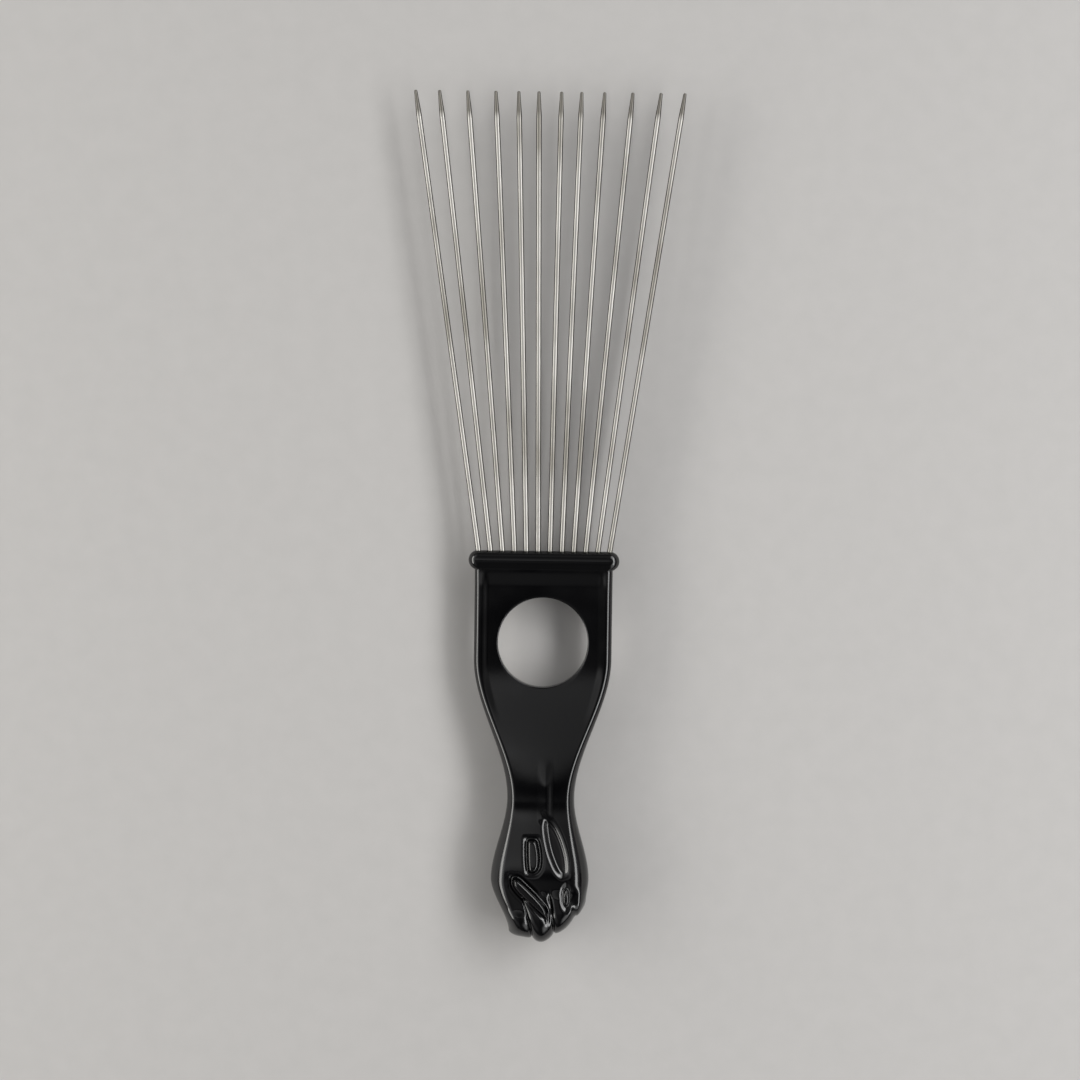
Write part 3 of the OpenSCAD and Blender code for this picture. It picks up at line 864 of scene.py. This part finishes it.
class AFROPICK_OT_steel_tines(bpy.types.Operator):
    """Makes the twelve tines: straight wires with ground points and buried flat anchors"""

    bl_idname = "afro_pick.steel_tines"
    bl_label = "Steel Tines"

    def execute(self, context):
        settings = context.scene.afro_pick
        sizes, origin = settings.tines, handle_origin()
        material = nickel_plated_wire(settings.finishes, sizes)
        tip_shares = [-share for share in reversed(TIP_SHARES)] + list(TIP_SHARES)
        half_roots = settings.handle.plate_w / 2 - sizes.root_inset
        for number, tip_share in enumerate(tip_shares):
            root = blend(-half_roots, half_roots, number / (len(tip_shares) - 1))
            run = Vector((tip_share * sizes.tip_spread / 2 - root, sizes.reach))
            bm = bmesh.new()
            rings = [bm.verts.new((radius, place, 0))
                     for radius, place in tine_profile(sizes, run.length)]
            chain = [bm.edges.new(pair) for pair in zip(rings, rings[1:])]
            bmesh.ops.spin(bm, geom=rings + chain, axis=(0, 1, 0), angle=math.tau,
                           steps=TINE_SIDES, use_merge=True)
            bmesh.ops.remove_doubles(bm, verts=bm.verts, dist=WELD_DISTANCE)
            flatten_anchor(bm, sizes)
            map_wire(bm, sizes, run.length)
            turn = Matrix.Rotation(-math.atan2(run.x, run.y), 4, "Z")
            bm.transform(Matrix.Translation(origin + Vector((root, 0, 0))) @ turn)
            finish_piece(bm, f"steel_tine_{number + 1:02d}", material,
                         f"tine_{number + 1:02d}")
        return {"FINISHED"}


def add_strip(name, lean, tint, power, distance, middle):
    """Adds a strip light that faces the pick, leaned to one side from overhead in degrees."""
    light = bpy.data.lights.new(name, "AREA")
    light.shape = "RECTANGLE"
    light.size, light.size_y = STRIP_SIZE
    light.energy = power
    light.color = linear(tint)
    lamp = bpy.data.objects.new(name, light)
    facing = Matrix.Rotation(math.radians(lean), 4, "Y")
    lamp.matrix_world = Matrix.Translation(middle) @ facing @ Matrix.Translation((0, 0, distance))
    bpy.context.scene.collection.objects.link(lamp)


def brightness_ramp(tree, part, stops):
    """A ramp of greys over one part of a direction, given as (part from -1 to 1, grey) pairs."""
    share = add_node(tree, "ShaderNodeMath", {1: 0.5, 2: 0.5}, {0: part},
                     operation="MULTIPLY_ADD")
    ramp = add_node(tree, "ShaderNodeValToRGB", links={"Fac": share.outputs[0]})
    elements = ramp.color_ramp.elements
    for n, (value, grey) in enumerate(sorted(stops)):
        if n < 2:
            elements[n].position = (value + 1) / 2
        else:
            elements.new((value + 1) / 2)
        elements[n].color = (grey, grey, grey, 1)
    return ramp.outputs["Color"]


def combine(tree, operation, a, b):
    """Two brightnesses put together, such as by their product or their maximum."""
    return add_node(tree, "ShaderNodeMath", links={0: a, 1: b}, operation=operation).outputs[0]


def of_angles(function, pairs):
    """The pairs with the sine or cosine of each angle in its place."""
    return [(function(math.radians(angle)), grey) for angle, grey in pairs]


def add_dome(brightness, wall):
    """Lights the studio mostly from its right corners, and softly from overhead."""
    world = bpy.data.worlds.new("studio_dome")
    world.use_nodes = True
    tree = world.node_tree
    tree.nodes.clear()
    way = add_node(tree, "ShaderNodeTexCoord").outputs["Generated"]
    parts = add_node(tree, "ShaderNodeSeparateXYZ", links={"Vector": way})
    x, y, z = (parts.outputs[axis] for axis in "XYZ")
    corners = combine(tree, "MULTIPLY", brightness_ramp(tree, x, ACROSS_LIGHT),
                      brightness_ramp(tree, y, LENGTHWISE_LIGHT))
    ring = combine(tree, "MULTIPLY", corners,
                   brightness_ramp(tree, z, of_angles(math.cos, RING_LIGHT)))
    overhead = combine(tree, "MULTIPLY", brightness_ramp(tree, x, OVERHEAD_ACROSS_LIGHT),
                       brightness_ramp(tree, y, of_angles(math.sin, OVERHEAD_LIGHT)))
    light = combine(tree, "MAXIMUM", ring, overhead)
    # Past the floor the camera sees a plain wall, and not the lights
    seen = add_node(tree, "ShaderNodeLightPath").outputs["Is Camera Ray"]
    wall = [channel / brightness for channel in wall]
    shown = add_node(tree, "ShaderNodeMix", {MIX_B: (*wall, 1)},
                     {"Factor": seen, MIX_A: light}, data_type="RGBA")
    shade = add_node(tree, "ShaderNodeBackground", {"Strength": brightness},
                     {"Color": shown.outputs[MIXED]})
    add_node(tree, "ShaderNodeOutputWorld", links={"Surface": shade.outputs["Background"]})
    bpy.context.scene.world = world


class AFROPICK_OT_studio(bpy.types.Operator):
    """Makes the pale floor, the soft lights and the camera that looks down on the pick"""

    bl_idname = "afro_pick.studio"
    bl_label = "Studio"

    def execute(self, context):
        scene, studio = context.scene, context.scene.afro_pick.studio
        middle = handle_origin() + Vector(VIEW_OFFSET)
        bm = bmesh.new()
        bmesh.ops.create_grid(bm, x_segments=1, y_segments=1, size=FLOOR_HALF_WIDTH)
        mesh = bpy.data.meshes.new("floor")
        bm.to_mesh(mesh)
        bm.free()
        mesh.materials.append(matt_card(scene.afro_pick.finishes))
        floor = bpy.data.objects.new("floor", mesh)
        scene.collection.objects.link(floor)
        for name, lean, tint in STRIPS:
            add_strip(name, lean, tint, studio.strip_power, studio.light_distance, middle)
        add_dome(studio.dome, scene.afro_pick.finishes.wall)
        camera = bpy.data.cameras.new("camera")
        camera.lens = studio.lens
        eye = bpy.data.objects.new("camera", camera)
        view = (Matrix.Rotation(-studio.camera_tilt, 4, "X")
                @ Matrix.Rotation(studio.camera_turn, 4, "Z"))
        eye.matrix_world = (Matrix.Translation(middle) @ view
                            @ Matrix.Translation((0, 0, studio.camera_distance)))
        scene.collection.objects.link(eye)
        scene.camera = eye
        scene.view_settings.view_transform = "Standard"
        return {"FINISHED"}


class AFROPICK_PT_panel(bpy.types.Panel):
    """Sizes, finishes and steps of the afro pick"""

    bl_idname = "AFROPICK_PT_panel"
    bl_label = "Afro Pick"
    bl_space_type = "VIEW_3D"
    bl_region_type = "UI"
    bl_category = "Afro Pick"

    def draw(self, context):
        settings = context.scene.afro_pick
        for title, group, operator in (
                ("Handle", settings.handle, "afro_pick.moulded_handle"),
                ("Tines", settings.tines, "afro_pick.steel_tines"),
                ("Finishes", settings.finishes, None),
                ("Studio", settings.studio, "afro_pick.studio")):
            box = self.layout.box()
            box.label(text=title)
            for name in group.__annotations__:
                box.prop(group, name)
            if operator:
                box.operator(operator)


CLASSES = (HandleSizes, TineSizes, Finishes, StudioSettings, PickSettings,
           AFROPICK_OT_moulded_handle, AFROPICK_OT_steel_tines, AFROPICK_OT_studio,
           AFROPICK_PT_panel)


def register():
    """Registers the add-on's classes and its settings."""
    for cls in CLASSES:
        bpy.utils.register_class(cls)
    bpy.types.Scene.afro_pick = PointerProperty(type=PickSettings)


def unregister():
    """Takes the add-on's settings and classes away again."""
    del bpy.types.Scene.afro_pick
    for cls in reversed(CLASSES):
        bpy.utils.unregister_class(cls)


def main():
    """Makes the pieces and the studio in order."""
    register()
    bpy.ops.afro_pick.moulded_handle()
    bpy.ops.afro_pick.steel_tines()
    bpy.ops.afro_pick.studio()


if __name__ == "__main__":
    main()
